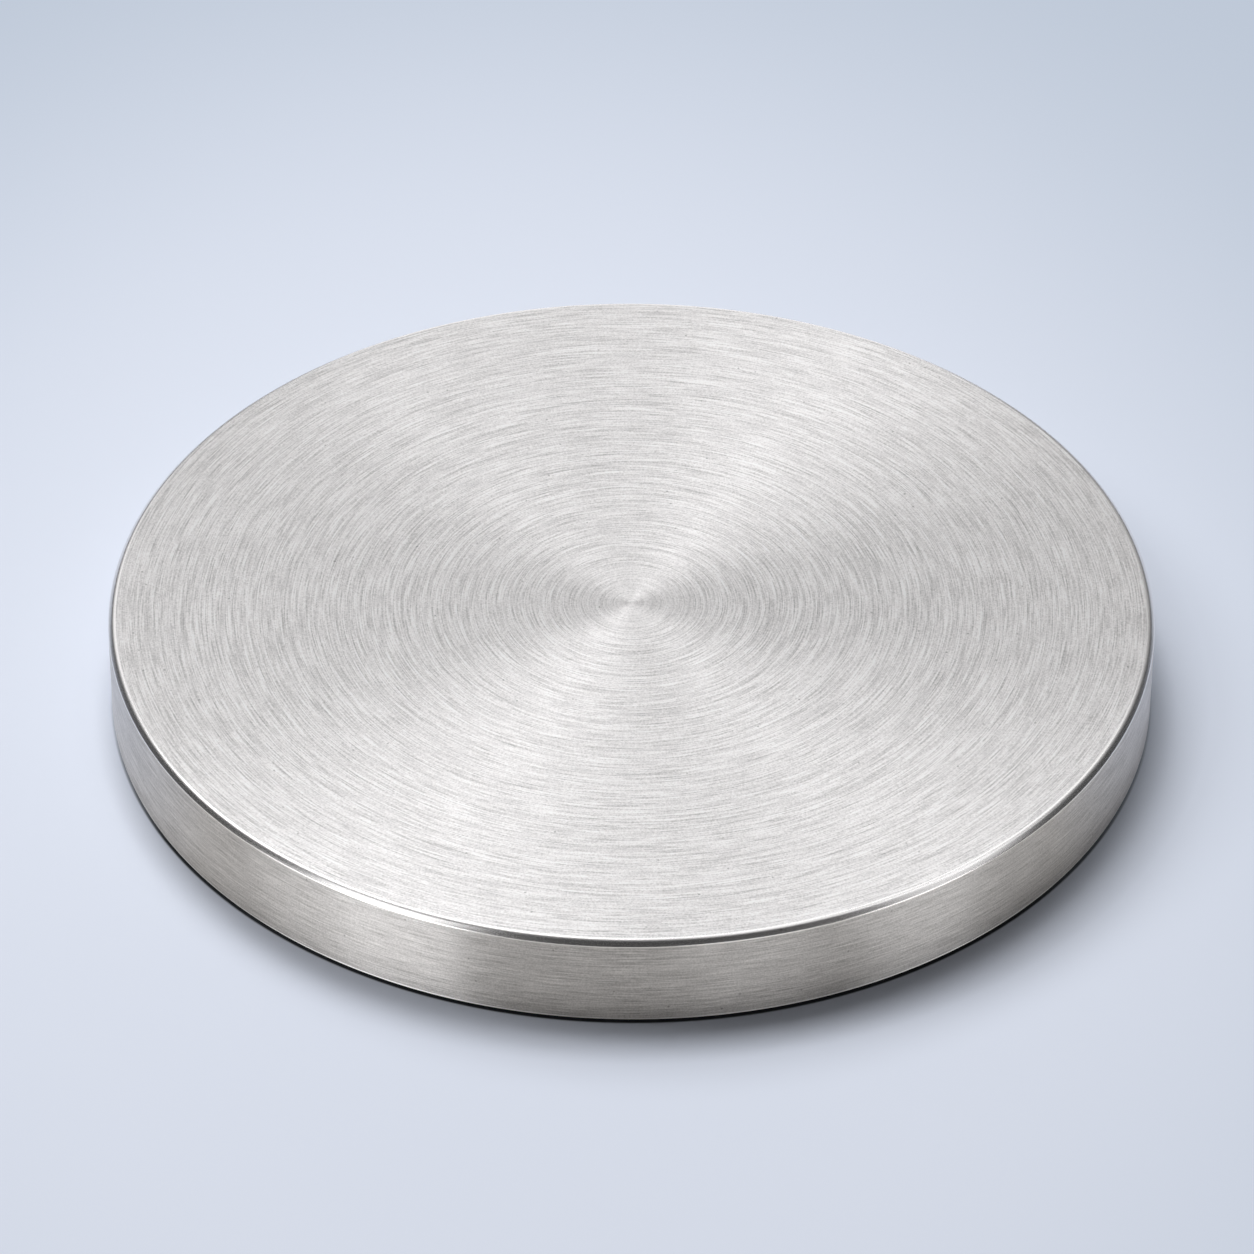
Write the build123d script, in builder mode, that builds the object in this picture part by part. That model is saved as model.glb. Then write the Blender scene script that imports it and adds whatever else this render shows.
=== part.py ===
"""Round planar sputtering target: one solid disc, faced and turned from a single blank.

Millimetres. The origin is the centre of the back face, which lies on the XY plane, and +Z is
the disc's axis, pointing out of the sputter face.
"""

import os

from build123d import *

# Driving dimensions.
disc_diameter = 101.6  # across the rim: the standard 4 inch planar size
disc_thickness = 9.525  # from back face to sputter face: 3/8 inch
face_chamfer = 0.5  # legs of the 45 degree chamfer round the sputter face
back_chamfer = 0.3  # legs of the smaller 45 degree edge break round the back face

os.makedirs("parts", exist_ok=True)

# The blank: a plain disc that stands on its back face, the one that seats on the cathode.
with BuildPart() as target_disc:
    with BuildSketch():
        Circle(disc_diameter / 2)
    extrude(amount=disc_thickness)

    # Both sharp corners of the rim are broken, so that they neither chip nor arc in use.
    rim_edges = target_disc.edges().filter_by(GeomType.CIRCLE).sort_by(Axis.Z)
    back_edge, face_edge = rim_edges[0], rim_edges[-1]
    chamfer(face_edge, length=face_chamfer)
    chamfer(back_edge, length=back_chamfer)

target_disc.part.label = "target_disc"
export_step(target_disc.part, "parts/target_disc.step")
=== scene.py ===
"""Turned sputtering target: the finish of one lathe-cut disc, and the pale stage it lies on.

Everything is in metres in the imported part's own frame: the origin is the centre of the back
face, +Z is the disc's axis and points out of the sputter face.
"""

import math

import bmesh
import bpy
from bpy.props import (
    FloatProperty,
    FloatVectorProperty,
    IntProperty,
    PointerProperty,
)
from mathutils import Matrix, Vector


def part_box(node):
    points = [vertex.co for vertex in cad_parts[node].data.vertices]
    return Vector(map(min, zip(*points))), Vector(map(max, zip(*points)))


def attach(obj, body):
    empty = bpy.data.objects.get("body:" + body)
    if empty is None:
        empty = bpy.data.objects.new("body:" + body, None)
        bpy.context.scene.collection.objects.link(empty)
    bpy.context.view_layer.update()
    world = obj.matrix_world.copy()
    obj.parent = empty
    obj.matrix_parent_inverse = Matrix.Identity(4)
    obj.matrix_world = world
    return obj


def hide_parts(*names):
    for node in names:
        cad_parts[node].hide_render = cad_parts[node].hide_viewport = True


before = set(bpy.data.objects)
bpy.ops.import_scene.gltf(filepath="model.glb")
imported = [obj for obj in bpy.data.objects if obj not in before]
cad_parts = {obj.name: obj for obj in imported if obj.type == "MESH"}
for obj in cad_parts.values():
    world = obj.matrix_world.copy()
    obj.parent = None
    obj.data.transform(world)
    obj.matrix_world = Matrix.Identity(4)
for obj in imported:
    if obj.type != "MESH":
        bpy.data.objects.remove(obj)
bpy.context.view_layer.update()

bl_info = {
    "name": "Turned sputtering target",
    "version": (1, 0, 0),
    "blender": (4, 5, 0),
    "location": "3D View > Sidebar > Target",
    "description": "Finishes a lathe-cut disc around its packed frame",
    "category": "Object",
}

MM = 0.001
DISC_NODE = "target_disc"
BODY = "root"
TURN = 2 * math.pi

# The unrolled map of the disc: U runs once round the axis and V along the section, from the
# face's centre over the rim to the back's centre. The face gets most of V, because it is what
# shows, so these are the heights in V at which one region hands over to the next.
MAP_NAME = "OFBake"
FACE_SHARE = 0.62
RIM_SHARE = 0.16
BACK_SHARE = 1 - FACE_SHARE - RIM_SHARE

low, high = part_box(DISC_NODE)
DISC_RADIUS = (high.x - low.x) / 2
DISC_THICKNESS = high.z - low.z

# The rim's part of the map starts here, just inside every chamfer.
RIM_START = DISC_RADIUS - 0.6 * MM

# Places of the disc's finishes in its list of materials.
FACE, CHAMFER, RIM, BACK, FOOT_HIGHLIGHT = range(5)

# Closer than this, two vertices are one.
TOUCHING = 0.001 * MM


def linear(code):
    """An sRGB hex colour as the linear RGBA that shader sockets take."""
    channels = [int(code[i : i + 2], 16) / 255 for i in (1, 3, 5)]
    curve = [c / 12.92 if c <= 0.04045 else ((c + 0.055) / 1.055) ** 2.4 for c in channels]
    return (*curve, 1.0)


class DiscSettings(bpy.types.PropertyGroup):
    """Edges of the disc that the frame doesn't give, and how finely it is spun."""

    face_chamfer: FloatProperty(
        name="Face chamfer",
        description="Legs of the 45 degree chamfer round the sputter face",
        default=0.5 * MM,
        unit="LENGTH",
    )
    back_chamfer: FloatProperty(
        name="Back edge break",
        description="Legs of the 45 degree edge break round the back face",
        default=0.3 * MM,
        unit="LENGTH",
    )
    # Painted highlight: this band is drawn in near-white metal so that it shows a bright line
    # along the bottom edge.
    foot: FloatProperty(
        name="Rubbed foot",
        description="Height of the bright band just above the back edge break",
        default=0.14 * MM,
        unit="LENGTH",
    )
    face_rounding: FloatProperty(
        name="Face corner rounding",
        description="How far the corner between the sputter face and its chamfer is rubbed back",
        default=0.26 * MM,
        unit="LENGTH",
    )
    corner_rounding: FloatProperty(
        name="Corner rounding",
        description="How far every other turned corner is rubbed back by deburring",
        default=0.09 * MM,
        unit="LENGTH",
    )
    spin_steps: IntProperty(
        name="Spin steps",
        description="Straight steps that stand for one full turn",
        default=512,
        min=64,
    )
    face_rings: IntProperty(
        name="Face rings",
        description="Rings between the centre and the edge of each flat face",
        default=16,
        min=2,
    )


class FinishSettings(bpy.types.PropertyGroup):
    """Colours and cut of the turned metal."""

    metal: FloatVectorProperty(
        name="Metal",
        description="Bare aluminium as fine turning leaves it",
        subtype="COLOR",
        size=4,
        default=linear("#ECEAEA"),
        min=0,
        max=1,
    )
    scratch: FloatProperty(
        name="Scratch spacing",
        description="Distance from one broken tool line to the next",
        default=0.3 * MM,
        unit="LENGTH",
    )
    ring: FloatProperty(
        name="Ring spacing",
        description="Distance from one unbroken tool line to the next",
        default=0.8 * MM,
        unit="LENGTH",
    )
    grain: FloatProperty(
        name="Grain",
        description="Size of the metal's own grain, drawn coarser than it is so that it shows",
        default=0.16 * MM,
        unit="LENGTH",
    )
    # Painted shade: the rim is the face's aluminium drawn darker by this share, for the dimmer
    # light round the rim.
    rim_painted_shade: FloatProperty(
        name="Rim brightness",
        description="How bright the rim's metal is beside the face's",
        default=0.75,
        min=0,
        max=1,
    )


class StageSettings(bpy.types.PropertyGroup):
    """Camera, floor and backdrop."""

    elevation: FloatProperty(
        name="Camera elevation",
        description="Height of the camera above the horizon",
        default=math.radians(38.43),
        subtype="ANGLE",
    )
    distance: FloatProperty(
        name="Camera distance",
        description="From the centre of the back face, in disc radii",
        default=13.54,
    )
    roll: FloatProperty(
        name="Camera roll",
        description="Turn of the camera about its own line of sight",
        default=math.radians(0.24),
        subtype="ANGLE",
    )
    aim_rise: FloatProperty(
        name="Aim rise",
        description="How far above the centre of the back face the camera aims, across its view",
        default=5.157 * MM,
        unit="LENGTH",
    )
    aim_shift: FloatProperty(
        name="Aim shift",
        description="How far to the right of that centre the camera aims",
        default=-0.44 * MM,
        unit="LENGTH",
    )
    lens: FloatProperty(
        name="Lens",
        description="Focal length on a 36 mm wide sensor",
        default=201.4,
        subtype="DISTANCE_CAMERA",
    )
    room: FloatProperty(
        name="Room light",
        description="Light from the dim rest of the room",
        default=0.04,
    )
    far_wall: FloatProperty(
        name="Far wall light",
        description="Light from the pale wall above and behind the disc",
        default=0.44,
    )
    floor_gap: FloatProperty(
        name="Floor gap",
        description="Hairline of air between the back face and the paper",
        default=0.08 * MM,
        unit="LENGTH",
    )
    # Painted shadow: the paper is painted black over this width in front of the disc.
    crack: FloatProperty(
        name="Crack",
        description="Width of the black line where the paper runs under the disc",
        default=0.26 * MM,
        unit="LENGTH",
    )
    floor: FloatVectorProperty(
        name="Floor",
        description="Pale blue-grey paper under the disc",
        subtype="COLOR",
        size=4,
        default=linear("#DEE4F1"),
        min=0,
        max=1,
    )
    mirrored_floor: FloatVectorProperty(
        name="Mirrored floor",
        description="Greyer colour of the paper in front, as the disc mirrors it",
        subtype="COLOR",
        size=4,
        default=linear("#E1DFDC"),
        min=0,
        max=1,
    )
    backdrop: FloatVectorProperty(
        name="Backdrop",
        description="What the floor fades into, and what stands behind it",
        subtype="COLOR",
        size=4,
        default=linear("#BFC9D8"),
        min=0,
        max=1,
    )


# Materials -------------------------------------------------------------------------------


def new_material(name):
    """An empty node material with its output, ready for add_node."""
    material = bpy.data.materials.new(name)
    material.use_nodes = True
    tree = material.node_tree
    tree.nodes.clear()
    return material, tree, add_node(tree, "ShaderNodeOutputMaterial")


def add_node(tree, kind, inputs=None, **settings):
    """Adds a node, sets its properties, and fills its inputs with values or output sockets."""
    node = tree.nodes.new(kind)
    for key, value in settings.items():
        setattr(node, key, value)
    for key, value in (inputs or {}).items():
        if isinstance(value, bpy.types.NodeSocket):
            tree.links.new(value, node.inputs[key])
        else:
            node.inputs[key].default_value = value
    return node


def run_across(tree, place, along):
    """Distance across the lathe lines: from the axis on a faced surface, up the axis on a rim."""
    if along == "height":
        return add_node(tree, "ShaderNodeSeparateXYZ", {0: place}).outputs["Z"]
    flat = add_node(
        tree, "ShaderNodeVectorMath", {0: place, 1: (1, 1, 0)}, operation="MULTIPLY"
    ).outputs[0]
    return add_node(tree, "ShaderNodeVectorMath", {0: flat}, operation="LENGTH").outputs["Value"]


def lathe_lines(tree, place, run, spacing, length, detail, roughness):
    """Noise drawn out round the axis: lines up to one spacing apart that die out in one length.

    Reading it by the position in the plane as well as by the run keeps the rings closed near
    the axis, where they are shorter than one length, and leaves no seam.
    """
    drawn = add_node(
        tree,
        "ShaderNodeVectorMath",
        {0: place, 1: (1 / length, 1 / length, 0)},
        operation="MULTIPLY",
    ).outputs[0]
    steps = add_node(
        tree, "ShaderNodeMath", {0: run, 1: 2 / spacing}, operation="MULTIPLY"
    ).outputs[0]
    climb = add_node(tree, "ShaderNodeCombineXYZ", {"Z": steps}).outputs[0]
    vector = add_node(
        tree, "ShaderNodeVectorMath", {0: drawn, 1: climb}, operation="ADD"
    ).outputs[0]
    return add_node(
        tree,
        "ShaderNodeTexNoise",
        {"Vector": vector, "Scale": 1.0, "Detail": detail, "Roughness": roughness},
        noise_dimensions="3D",
    ).outputs["Fac"]


def remap(tree, value, low, high):
    """Spreads noise, which mostly keeps between a quarter and three quarters, over low to high."""
    return add_node(
        tree,
        "ShaderNodeMapRange",
        {"Value": value, "From Min": 0.25, "From Max": 0.75, "To Min": low, "To Max": high},
        clamp=False,
    ).outputs["Result"]


def pits(tree, place):
    """One on sound metal, less in the rare pinhole that the tool has torn, about 0.2 mm wide."""
    distance = add_node(
        tree, "ShaderNodeTexVoronoi", {"Vector": place, "Scale": 1 / (2.2 * MM)}
    ).outputs["Distance"]
    return add_node(
        tree,
        "ShaderNodeMapRange",
        {"Value": distance, "From Min": 0.035, "From Max": 0.065, "To Min": 0.6, "To Max": 1.0},
    ).outputs["Result"]


def lathe_finish(name, finish, metal, along, length, shade, roughness, anisotropy, depth):
    """Bare turned metal: lines round the axis that spread each reflection across them.

    Length is how far one line runs, shade how much lighter or darker than the metal it is
    drawn, and depth how deep it is cut.
    """
    material, tree, output = new_material(name)
    place = add_node(tree, "ShaderNodeTexCoord").outputs["Object"]
    run = run_across(tree, place, along)
    scratches = lathe_lines(
        tree, place, run, finish.scratch, length, detail=1.0, roughness=1.0
    )
    rings = lathe_lines(tree, place, run, finish.ring, 400 * MM, detail=2.0, roughness=0.9)
    grain = add_node(
        tree, "ShaderNodeTexNoise", {"Vector": place, "Scale": 1 / finish.grain, "Detail": 1.0}
    ).outputs["Fac"]
    # The last turns at the centre are whole rings; further out the lines break into scratches.
    few_rings = 0.12
    whole = add_node(
        tree,
        "ShaderNodeMapRange",
        {"Value": run, "From Min": 0, "From Max": 7 * MM, "To Min": 0.8, "To Max": few_rings},
    ).outputs["Result"]
    lines = add_node(
        tree,
        "ShaderNodeMix",
        {"Factor": whole if along == "radius" else few_rings, "A": scratches, "B": rings},
        data_type="FLOAT",
    ).outputs["Result"]
    height = add_node(
        tree, "ShaderNodeMix", {"Factor": 0.35, "A": lines, "B": grain}, data_type="FLOAT"
    ).outputs["Result"]
    bump = add_node(
        tree, "ShaderNodeBump", {"Strength": 1.0, "Distance": depth, "Height": height}
    ).outputs["Normal"]
    level = add_node(
        tree,
        "ShaderNodeMath",
        {0: remap(tree, height, 1 - shade, 1 + shade), 1: pits(tree, place)},
        operation="MULTIPLY",
    ).outputs[0]
    colour = add_node(
        tree, "ShaderNodeVectorMath", {0: tuple(metal)[:3], "Scale": level}, operation="SCALE"
    ).outputs[0]
    tangent = add_node(
        tree, "ShaderNodeTangent", direction_type="UV_MAP", uv_map=MAP_NAME
    ).outputs[0]
    surface = add_node(
        tree,
        "ShaderNodeBsdfPrincipled",
        {
            "Base Color": colour,
            "Metallic": 1.0,
            "Roughness": remap(tree, rings, roughness * 0.92, roughness * 1.08),
            "Anisotropic": anisotropy,
            "Anisotropic Rotation": 0.25,
            "Tangent": tangent,
            "Normal": bump,
        },
    ).outputs["BSDF"]
    tree.links.new(surface, output.inputs["Surface"])
    return material


def darker(colour, share):
    """A linear colour scaled down to a share of itself."""
    return [share * channel for channel in colour]


def turned_face(finish):
    """Aluminium faced in one slow pass: fine rings that open into a fan of light."""
    return lathe_finish(
        "turned_face_aluminium",
        finish,
        finish.metal,
        along="radius",
        length=5 * MM,
        shade=0.5,
        roughness=0.42,
        anisotropy=0.8,
        depth=0.02 * MM,
    )


def turned_rim(finish):
    """Aluminium turned along the axis: level lines round the rim, its metal drawn darker than the
    face's as painted shade.
    """
    return lathe_finish(
        "turned_rim_aluminium",
        finish,
        # Painted shade: the rim's metal is the face's, darkened.
        darker(finish.metal, finish.rim_painted_shade),
        along="height",
        length=4 * MM,
        shade=0.45,
        roughness=0.34,
        anisotropy=0.97,
        depth=0.02 * MM,
    )


def cut_chamfer(finish):
    """Aluminium cut with a form tool: nearly bright, with only the faintest lines."""
    return lathe_finish(
        "bright_chamfer_aluminium",
        finish,
        finish.metal,
        along="height",
        length=20 * MM,
        shade=0.05,
        roughness=0.26,
        anisotropy=0.5,
        depth=0.001 * MM,
    )


def painted_highlight_foot(finish):
    """The foot of the rim, drawn almost white as a painted highlight along the bottom edge."""
    return lathe_finish(
        "rubbed_foot_aluminium",
        finish,
        # Near-white metal: the painted highlight.
        linear("#FDFDFD"),
        along="height",
        length=6 * MM,
        shade=0.04,
        roughness=0.5,
        anisotropy=0.95,
        depth=0.001 * MM,
    )


def turned_back(finish):
    """Aluminium faced faster than the front, because only its flatness matters."""
    return lathe_finish(
        "turned_back_aluminium",
        finish,
        finish.metal,
        along="radius",
        length=14 * MM,
        shade=0.26,
        roughness=0.42,
        anisotropy=0.8,
        depth=0.03 * MM,
    )


# Disc ------------------------------------------------------------------------------------


def section(settings):
    """Corners of the disc's half section as (radius, height), from face centre to back centre."""
    radius = DISC_RADIUS
    top = DISC_THICKNESS
    return [
        (0.0, top),
        (radius - settings.face_chamfer, top),
        (radius, top - settings.face_chamfer),
        (radius, settings.back_chamfer + settings.foot),
        (radius, settings.back_chamfer),
        (radius - settings.back_chamfer, 0.0),
        (0.0, 0.0),
    ]


def spin_disc(settings):
    """The disc as a bmesh: its half section spun once round the axis, with rubbed corners."""
    mesh = bmesh.new()
    corners = [mesh.verts.new((r, 0, z)) for r, z in section(settings)]
    edges = [mesh.edges.new(pair) for pair in zip(corners, corners[1:])]
    flats = [edges[0], edges[-1]]
    bmesh.ops.subdivide_edges(mesh, edges=flats, cuts=settings.face_rings - 1)
    bmesh.ops.spin(
        mesh,
        geom=mesh.verts[:] + mesh.edges[:],
        cent=(0, 0, 0),
        axis=(0, 0, 1),
        angle=TURN,
        steps=settings.spin_steps,
        use_merge=True,
    )
    bmesh.ops.remove_doubles(mesh, verts=mesh.verts, dist=TOUCHING)
    bmesh.ops.recalc_face_normals(mesh, faces=mesh.faces)
    sharp = [edge for edge in mesh.edges if edge.calc_face_angle(0) > math.radians(20)]
    upper = [edge for edge in sharp if edge.verts[0].co.z > DISC_THICKNESS - TOUCHING]
    others = [edge for edge in sharp if edge not in upper]
    for corner, rounding in ((upper, settings.face_rounding), (others, settings.corner_rounding)):
        bmesh.ops.bevel(
            mesh,
            geom=corner,
            offset=rounding,
            offset_type="OFFSET",
            affect="EDGES",
            segments=4,
            profile=0.5,
            material=-1,
            clamp_overlap=True,
        )
    return mesh


def region(face, settings):
    """Which finish a face of the disc takes, by the way it looks and how low it lies."""
    up = face.normal.z
    foot_top = settings.back_chamfer + settings.foot
    # The band just above the back edge break takes the painted highlight.
    if up > -0.7 and face.calc_center_median().z < foot_top:
        return FOOT_HIGHLIGHT
    if abs(up) < 0.05:
        return RIM
    if up > 0.999:
        return FACE
    if up < -0.999:
        return BACK
    return CHAMFER


def along_section(point):
    """How far down the unrolled map a point of the disc lies, from 0 to 1."""
    radius = math.hypot(point.x, point.y)
    upper_half = point.z > DISC_THICKNESS / 2
    if radius < RIM_START:
        if upper_half:
            return FACE_SHARE * radius / RIM_START
        return 1 - BACK_SHARE * radius / RIM_START
    # Over the edge the way is measured as the fall plus the step outward, which never turns back.
    fall = DISC_THICKNESS - point.z
    out = radius - RIM_START
    widest = DISC_RADIUS - RIM_START
    way = fall + (out if upper_half else 2 * widest - out)
    return FACE_SHARE + RIM_SHARE * way / (DISC_THICKNESS + 2 * widest)


def unroll(mesh):
    """Lays the map: U round the axis, V along the section, with the seam on one spin step."""
    layer = mesh.loops.layers.uv.new(MAP_NAME)
    for face in mesh.faces:
        middle = face.calc_center_median()
        centre_angle = math.atan2(middle.y, middle.x)
        for loop in face.loops:
            point = loop.vert.co
            if math.hypot(point.x, point.y) < TOUCHING:
                swing = 0.0
            else:
                swing = math.atan2(point.y, point.x) - centre_angle
                swing = (swing + math.pi) % TURN - math.pi
            turn = (centre_angle + swing) / TURN + 0.5
            loop[layer].uv = (min(max(turn, 0.0), 1.0), 1 - along_section(point))


class TARGET_OT_turn_disc(bpy.types.Operator):
    """Spin the disc, give each of its surfaces its own cut finish, and put it in the frame."""

    bl_idname = "target.turn_disc"
    bl_label = "Turn disc"

    def execute(self, context):
        settings = context.scene.target_disc
        finish = context.scene.target_finish
        mesh = spin_disc(settings)
        mesh.normal_update()
        unroll(mesh)
        for face in mesh.faces:
            face.material_index = region(face, settings)
            face.smooth = True
        data = bpy.data.meshes.new("turned_disc")
        mesh.to_mesh(data)
        mesh.free()
        finishes = {
            FACE: turned_face,
            CHAMFER: cut_chamfer,
            RIM: turned_rim,
            BACK: turned_back,
            FOOT_HIGHLIGHT: painted_highlight_foot,
        }
        for make in finishes.values():
            data.materials.append(make(finish))
        disc = bpy.data.objects.new("turned_disc", data)
        context.scene.collection.objects.link(disc)
        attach(disc, BODY)
        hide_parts(DISC_NODE)
        return {"FINISHED"}


# Stage -----------------------------------------------------------------------------------

# Name, azimuth and elevation in degrees, and power in watts. The lamps behind and above open
# the fan of light across the face, and the low ones draw the bright bands round the rim.
DISC_LAMPS = (
    ("key_back_left", 150, 52, 0.39),
    ("overhead_left", 135, 72, 0.31),
    ("overhead_back", 90, 72, 0.16),
    ("overhead_right", 0, 72, 0.12),
    ("right", 0, 52, 0.20),
    ("back_right", 60, 52, 0.18),
    ("back", 90, 52, 0.08),
    ("back_left", 120, 32, 0.14),
    ("left_front", 216, 42, 0.31),
    ("right_front", 342, 38, 0.13),
    ("low_back", 90, 12, 0.20),
    ("low_left_front", 208, 12, 0.44),
    ("low_front_left", 227, 12, 0.80),
    ("low_front", 293, 10, 0.20),
    ("low_right_front", 327, 12, 0.44),
)
# These light only the paper. They stand further back, so the paper is evenly bright, and
# behind and to the left of the disc, so its shadow falls to the front and the right.
FLOOR_LAMPS = (
    ("paper_overhead", 100, 72, 6.2),
    ("paper_back", 110, 52, 3.8),
    ("paper_left", 168, 46, 3.5),
)


def contact_shade(tree, place, depth, stage):
    """The paper's colour with painted shadow: deepened by an occlusion lookup towards the lamps at
    the front and right of the disc, and painted black in the crack.
    """
    colour = tuple(stage.floor)
    toward_lamps = add_node(tree, "ShaderNodeCombineXYZ", {"X": -0.6, "Y": 0.62, "Z": 0.5})
    # Painted shadow: occlusion towards the lamps darkens the paper's colour beside the disc.
    shaded = add_node(
        tree,
        "ShaderNodeAmbientOcclusion",
        {"Color": colour, "Distance": 6 * MM, "Normal": toward_lamps.outputs[0]},
        samples=12,
    ).outputs["Color"]
    painted_contact_shadow = add_node(
        tree,
        "ShaderNodeMix",
        {"Factor": 0.44, "A": colour, "B": shaded},
        data_type="RGBA",
    ).outputs["Result"]
    radius = add_node(tree, "ShaderNodeVectorMath", {0: place}, operation="LENGTH")
    crack = add_node(
        tree,
        "ShaderNodeMapRange",
        {
            "Value": radius.outputs["Value"],
            "From Min": DISC_RADIUS,
            "From Max": DISC_RADIUS + stage.crack,
            "To Min": 0.95,
            "To Max": 0.0,
        },
        interpolation_type="SMOOTHSTEP",
    ).outputs["Result"]
    front = add_node(
        tree,
        "ShaderNodeMapRange",
        {"Value": depth, "From Min": -25 * MM, "From Max": 0.0, "To Min": 1.0, "To Max": 0.0},
    ).outputs["Result"]
    # Painted shadow: the crack is painted black, only in front of the disc.
    black = add_node(tree, "ShaderNodeMath", {0: crack, 1: front}, operation="MULTIPLY")
    return add_node(
        tree,
        "ShaderNodeMix",
        {"Factor": black.outputs[0], "A": painted_contact_shadow, "B": (0.004, 0.005, 0.006, 1)},
        data_type="RGBA",
    ).outputs["Result"]


def floor_paper(stage):
    """Matt paper that takes the disc's cast shadow nearby, deepened there by painted shadow, and
    fades into the backdrop further out.
    """
    material, tree, output = new_material("matt_paper")
    place = add_node(tree, "ShaderNodeTexCoord").outputs["Object"]
    # The lit part of the paper is an oval whose centre lies a little in front and to the left.
    pool = add_node(
        tree,
        "ShaderNodeVectorMath",
        {0: place, 1: (1.4, 1, 0), 2: (14 * MM, 19 * MM, 0)},
        operation="MULTIPLY_ADD",
    ).outputs[0]
    reach = add_node(tree, "ShaderNodeVectorMath", {0: pool}, operation="LENGTH").outputs["Value"]
    far = add_node(
        tree,
        "ShaderNodeMapRange",
        {"Value": reach, "From Min": 65 * MM, "From Max": 180 * MM},
        interpolation_type="SMOOTHSTEP",
    ).outputs["Result"]
    seen = add_node(tree, "ShaderNodeLightPath").outputs["Is Camera Ray"]
    faded = add_node(tree, "ShaderNodeMath", {0: far, 1: seen}, operation="MULTIPLY").outputs[0]
    depth = add_node(tree, "ShaderNodeSeparateXYZ", {0: place}).outputs["Y"]
    behind = add_node(
        tree,
        "ShaderNodeMapRange",
        {"Value": depth, "From Min": -30 * MM, "From Max": 0.0},
    ).outputs["Result"]
    mirrored = add_node(
        tree,
        "ShaderNodeMix",
        {"Factor": behind, "A": tuple(stage.mirrored_floor), "B": tuple(stage.floor)},
        data_type="RGBA",
    ).outputs["Result"]
    colour = add_node(
        tree,
        "ShaderNodeMix",
        {"Factor": seen, "A": mirrored, "B": contact_shade(tree, place, depth, stage)},
        data_type="RGBA",
    ).outputs["Result"]
    near = add_node(tree, "ShaderNodeBsdfDiffuse", {"Color": colour}).outputs["BSDF"]
    plain = add_node(
        tree, "ShaderNodeEmission", {"Color": tuple(stage.backdrop), "Strength": 1.0}
    ).outputs["Emission"]
    surface = add_node(tree, "ShaderNodeMixShader", {0: faded, 1: near, 2: plain}).outputs[0]
    tree.links.new(surface, output.inputs["Surface"])
    return material


def lay_floor(context, stage):
    """A round sheet of paper far larger than the view, level with the back face."""
    mesh = bmesh.new()
    bmesh.ops.create_circle(mesh, cap_ends=True, segments=96, radius=6.0)
    data = bpy.data.meshes.new("paper_floor")
    mesh.to_mesh(data)
    mesh.free()
    floor = bpy.data.objects.new("paper_floor", data)
    floor.location.z = -stage.floor_gap
    data.materials.append(floor_paper(stage))
    context.scene.collection.objects.link(floor)
    return floor


def set_world(context, stage):
    """Plain backdrop to the eye, and for everything else a dim room with a brighter far wall."""
    world = bpy.data.worlds.new("studio")
    context.scene.world = world
    world.use_nodes = True
    tree = world.node_tree
    tree.nodes.clear()
    direction = add_node(tree, "ShaderNodeTexCoord").outputs["Generated"]
    wall = (0, 0.6, 0.8)
    glow = add_node(
        tree, "ShaderNodeVectorMath", {0: direction, 1: wall}, operation="DOT_PRODUCT"
    ).outputs["Value"]
    level = add_node(
        tree,
        "ShaderNodeMapRange",
        {
            "Value": glow,
            "From Min": 0.5,
            "From Max": 0.95,
            "To Min": stage.room,
            "To Max": stage.far_wall,
        },
        interpolation_type="SMOOTHSTEP",
    ).outputs["Result"]
    lit = add_node(tree, "ShaderNodeBackground", {"Color": (1, 1, 1, 1), "Strength": level})
    seen = add_node(
        tree, "ShaderNodeBackground", {"Color": tuple(stage.backdrop), "Strength": 1.0}
    )
    mixed = add_node(
        tree,
        "ShaderNodeMixShader",
        {
            0: add_node(tree, "ShaderNodeLightPath").outputs["Is Camera Ray"],
            1: lit.outputs[0],
            2: seen.outputs[0],
        },
    ).outputs[0]
    add_node(tree, "ShaderNodeOutputWorld", {"Surface": mixed})


def hang_softbox(name, azimuth, elevation, power, reach, side, receivers):
    """A square soft lamp that faces the disc. Azimuth is in degrees from +X towards +Y."""
    data = bpy.data.lights.new(name, "AREA")
    data.shape = "SQUARE"
    data.size = side
    data.energy = power
    lamp = bpy.data.objects.new(name, data)
    turn, rise = math.radians(azimuth), math.radians(elevation)
    facing = Vector(
        (math.cos(rise) * math.cos(turn), math.cos(rise) * math.sin(turn), math.sin(rise))
    )
    lamp.rotation_mode = "QUATERNION"
    lamp.rotation_quaternion = facing.to_track_quat("Z", "Y")
    lamp.location = facing * reach
    lamp.visible_camera = False
    lamp.light_linking.receiver_collection = receivers
    bpy.context.scene.collection.objects.link(lamp)
    return lamp


def hang_lamps(lamps, reach, side, lit):
    """Hangs one group of softboxes that light only the object given."""
    receivers = bpy.data.collections.new(f"lit_{lit.name}")
    receivers.objects.link(lit)
    for name, azimuth, elevation, power in lamps:
        hang_softbox(name, azimuth, elevation, power, reach, side, receivers)


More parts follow.
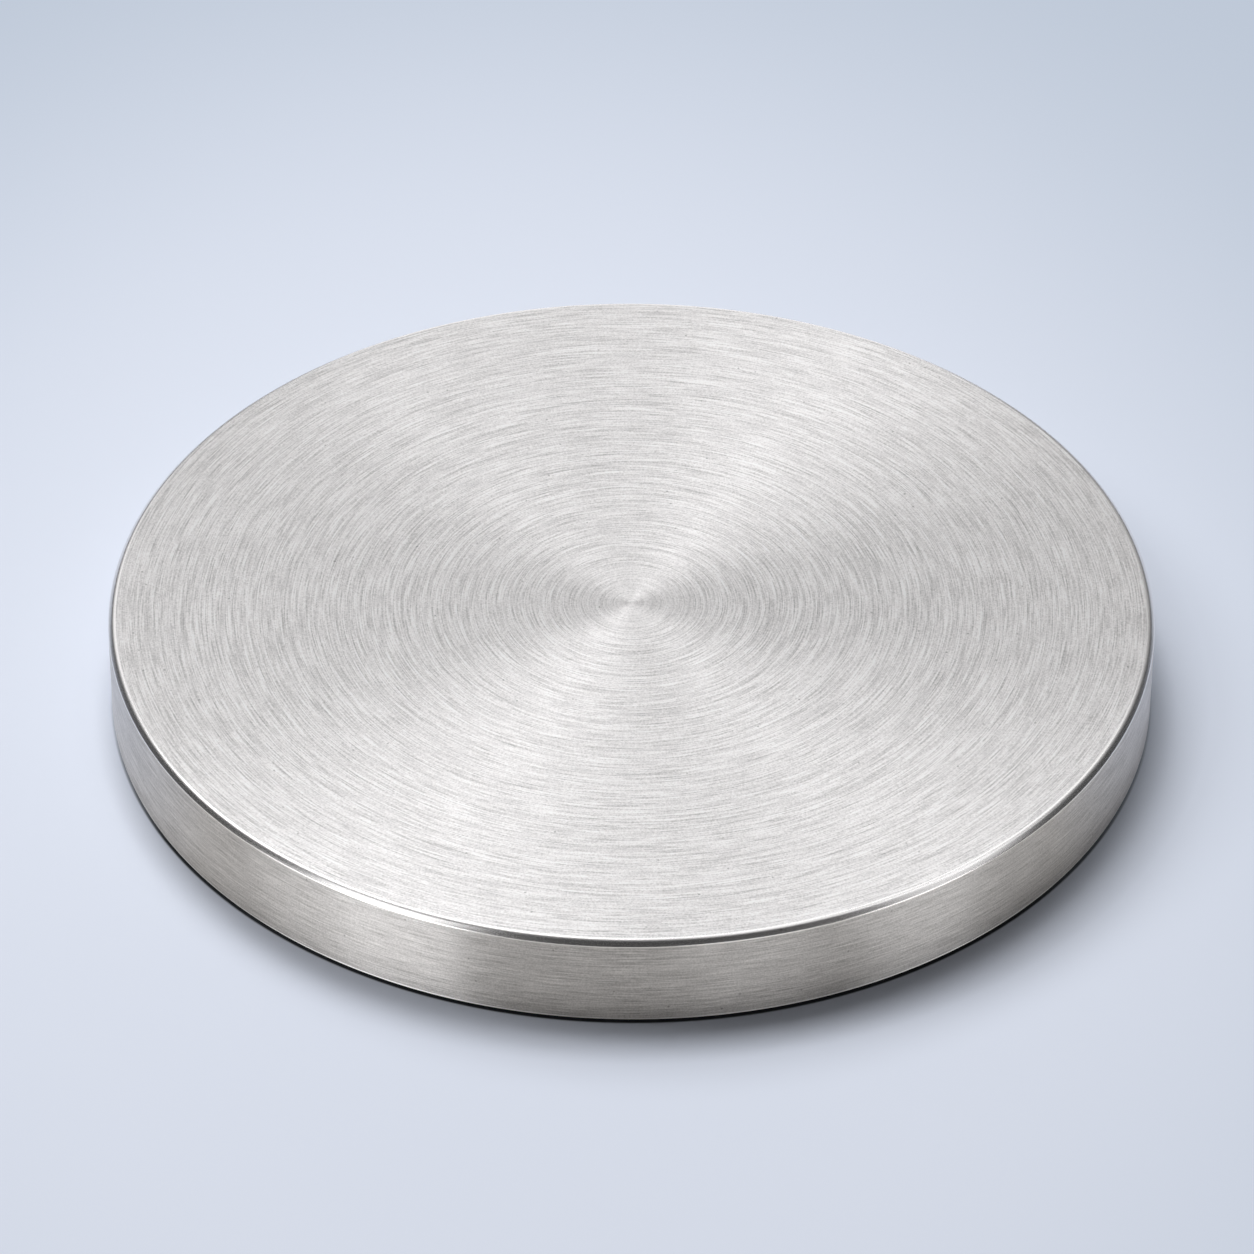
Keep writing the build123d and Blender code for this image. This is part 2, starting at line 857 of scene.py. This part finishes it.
def aim_camera(context, stage):
    """The camera in front of the disc, looking down at it through a long lens."""
    data = bpy.data.cameras.new("camera")
    data.sensor_width = 36.0
    data.lens = stage.lens
    data.clip_start = 0.05
    data.clip_end = 50.0
    camera = bpy.data.objects.new("camera", data)
    rise = stage.elevation
    toward = Vector((0, math.cos(rise), -math.sin(rise)))
    above = Vector((0, math.sin(rise), math.cos(rise)))
    spot = -toward * stage.distance * DISC_RADIUS
    aim = above * stage.aim_rise + Vector((stage.aim_shift, 0, 0))
    sight = (aim - spot).normalized()
    side = sight.cross(Vector((0, 0, 1))).normalized()
    up = side.cross(sight)
    turn = Matrix((side, up, -sight)).transposed().to_4x4()
    camera.matrix_world = Matrix.Translation(spot) @ turn @ Matrix.Rotation(stage.roll, 4, "Z")
    context.scene.collection.objects.link(camera)
    context.scene.camera = camera


class TARGET_OT_lay_stage(bpy.types.Operator):
    """Lay the floor, hang the lights and aim the camera."""

    bl_idname = "target.lay_stage"
    bl_label = "Lay stage"

    def execute(self, context):
        stage = context.scene.target_stage
        floor = lay_floor(context, stage)
        set_world(context, stage)
        hang_lamps(DISC_LAMPS, reach=0.6, side=0.25, lit=bpy.data.objects["turned_disc"])
        hang_lamps(FLOOR_LAMPS, reach=1.2, side=0.45, lit=floor)
        aim_camera(context, stage)
        context.scene.view_settings.view_transform = "Standard"
        return {"FINISHED"}


class VIEW3D_PT_target(bpy.types.Panel):
    """Sizes, colours and steps of the turned disc."""

    bl_label = "Sputtering target"
    bl_space_type = "VIEW_3D"
    bl_region_type = "UI"
    bl_category = "Target"

    def draw(self, context):
        layout = self.layout
        layout.use_property_split = True
        for group, operator in (
            ("target_disc", TARGET_OT_turn_disc),
            ("target_finish", None),
            ("target_stage", TARGET_OT_lay_stage),
        ):
            settings = getattr(context.scene, group)
            box = layout.box()
            for name in settings.__annotations__:
                box.prop(settings, name)
            if operator:
                box.operator(operator.bl_idname)


GROUPS = {
    "target_disc": DiscSettings,
    "target_finish": FinishSettings,
    "target_stage": StageSettings,
}
CLASSES = (*GROUPS.values(), TARGET_OT_turn_disc, TARGET_OT_lay_stage, VIEW3D_PT_target)


def register():
    for cls in CLASSES:
        bpy.utils.register_class(cls)
    for name, group in GROUPS.items():
        setattr(bpy.types.Scene, name, PointerProperty(type=group))


def unregister():
    for name in GROUPS:
        delattr(bpy.types.Scene, name)
    for cls in reversed(CLASSES):
        bpy.utils.unregister_class(cls)


def main():
    register()
    bpy.ops.target.turn_disc()
    bpy.ops.target.lay_stage()


if __name__ == "__main__":
    main()
